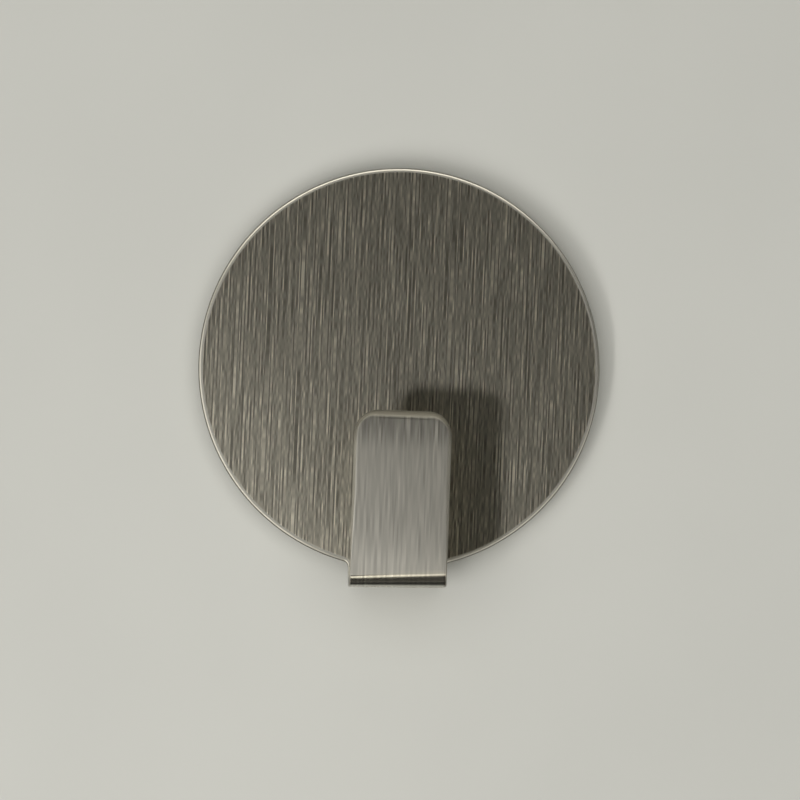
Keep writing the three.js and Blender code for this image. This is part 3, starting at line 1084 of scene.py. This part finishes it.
def light_room(stage):
    """A softbox before the wall. The metal shows a dark studio with a few arcs of light instead."""
    world = bpy.data.worlds.new("room")
    world.use_nodes = True
    bpy.context.scene.world = world
    nodes = NodeMaker(world.node_tree)
    background = world.node_tree.nodes["Background"]
    direction = nodes.add("ShaderNodeTexCoord").outputs["Generated"]
    right, depth, up = nodes.separate(direction)
    behind = nodes.ramp(depth, *WALL_PLANE_FADE)

    softbox_middle = Vector(stage.softbox_direction).normalized()
    towards = nodes.vector_measure("DOT_PRODUCT", direction, softbox_middle)
    softbox_edge = math.cos(stage.softbox_outer), math.cos(stage.softbox_inner)
    softbox = nodes.ramp(towards, *softbox_edge, 0.0, stage.softbox_level)

    off_axis = nodes.math("ARCCOSINE", nodes.math("MULTIPLY", depth, -1.0))
    sideways = nodes.vector_math("NORMALIZE", nodes.combine(right, 0.0, up))

    def arc_light(arc, strength):
        near, far, half_turn = math.radians(arc.near), math.radians(arc.far), math.radians(arc.half_turn)
        facing = nodes.vector_measure("DOT_PRODUCT", sideways, Vector(arc.middle).normalized())
        ends = math.cos(half_turn + ARC_SOFT_END), math.cos(half_turn - ARC_SOFT_END)
        outside = nodes.ramp(off_axis, near - ARC_SOFT_SIDE, near + ARC_SOFT_SIDE)
        inside = nodes.ramp(off_axis, far + ARC_SOFT_SIDE, far - ARC_SOFT_SIDE)
        turned = nodes.ramp(facing, *ends, 0.0, strength)
        return nodes.math("MULTIPLY", turned, nodes.math("MULTIPLY", outside, inside))

    arcs = (
        (ARCH, stage.arch_level),
        (APRON, stage.apron_level),
        (RIGHT_STRIP, stage.right_level),
        (LEFT_STRIP, stage.left_level),
        (FLOOR, stage.floor_level),
    )
    mirrored = stage.front_level
    for arc, strength in arcs:
        mirrored = nodes.math("ADD", arc_light(arc, strength), mirrored)

    rays = nodes.add("ShaderNodeLightPath").outputs
    before_wall = nodes.mix_value(rays["Is Glossy Ray"], softbox, mirrored)
    around = nodes.mix_value(behind, before_wall, stage.backdrop_level)
    strength = nodes.mix_value(rays["Is Camera Ray"], around, stage.backdrop_level)
    tint = nodes.mix_colour(rays["Is Glossy Ray"], stage.room_colour, stage.studio_colour)
    nodes.feed(background.inputs["Color"], tint)
    nodes.feed(background.inputs["Strength"], strength)


def add_camera(stage):
    camera = bpy.data.cameras.new("camera")
    viewer = bpy.data.objects.new("camera", camera)
    bpy.context.scene.collection.objects.link(viewer)
    azimuth, elevation = stage.camera_azimuth, stage.camera_elevation
    back = Vector((
        math.sin(azimuth) * math.cos(elevation),
        -math.cos(azimuth) * math.cos(elevation),
        math.sin(elevation),
    ))
    plate = bpy.context.scene.magnetic_hook.plate
    aim = Vector((stage.aim_across, plate.plate_back - plate.sheet_thickness, stage.aim_up))
    viewer.location = aim + back * stage.camera_distance
    level_turn = (-back).to_track_quat("-Z", "Y")
    viewer.rotation_euler = (level_turn @ Quaternion((0.0, 0.0, 1.0), stage.camera_roll)).to_euler()
    camera.lens = camera.sensor_width * stage.camera_distance / stage.framed_width
    bpy.context.scene.camera = viewer


class SetHookStage(bpy.types.Operator):
    """Set the pale wall, the lamps and the camera"""
    bl_idname = "scene.set_hook_stage"
    bl_label = "Set Hook Stage"

    def execute(self, context):
        stage = context.scene.magnetic_hook.stage
        context.scene.view_settings.view_transform = "Standard"
        add_wall(stage, CARRIER_HIGH.x - context.scene.magnetic_hook.layer.carrier_wall_round)
        add_lamps(stage)
        light_room(stage)
        add_camera(stage)
        return {"FINISHED"}


class MagneticHookPanel(bpy.types.Panel):
    """Lists the hook's pieces and sizes"""
    bl_idname = "VIEW3D_PT_magnetic_hook"
    bl_label = "Magnetic Hook"
    bl_space_type = "VIEW_3D"
    bl_region_type = "UI"
    bl_category = "Magnetic Hook"

    def draw(self, context):
        settings = context.scene.magnetic_hook
        sections = (
            (settings.plate, (AddHookPlate,)),
            (settings.layer, (AddBondingFilm, AddMagnetCarrier, AddMagnets)),
            (settings.stage, (SetHookStage,)),
        )
        for group, operators in sections:
            column = self.layout.column(align=True)
            for name in group.__annotations__:
                column.prop(group, name)
            for operator in operators:
                column.operator(operator.bl_idname)


CLASSES = (
    HookPlateSettings, MagnetLayerSettings, StageSettings, MagneticHookSettings,
    AddHookPlate, AddBondingFilm, AddMagnetCarrier, AddMagnets, SetHookStage, MagneticHookPanel,
)


def register():
    for cls in CLASSES:
        bpy.utils.register_class(cls)
    bpy.types.Scene.magnetic_hook = PointerProperty(type=MagneticHookSettings)


def unregister():
    del bpy.types.Scene.magnetic_hook
    for cls in reversed(CLASSES):
        bpy.utils.unregister_class(cls)


def main():
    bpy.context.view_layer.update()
    register()
    bpy.ops.mesh.add_hook_plate()
    bpy.ops.mesh.add_bonding_film()
    bpy.ops.mesh.add_magnet_carrier()
    bpy.ops.mesh.add_magnets()
    bpy.ops.scene.set_hook_stage()


if __name__ == "__main__":
    main()
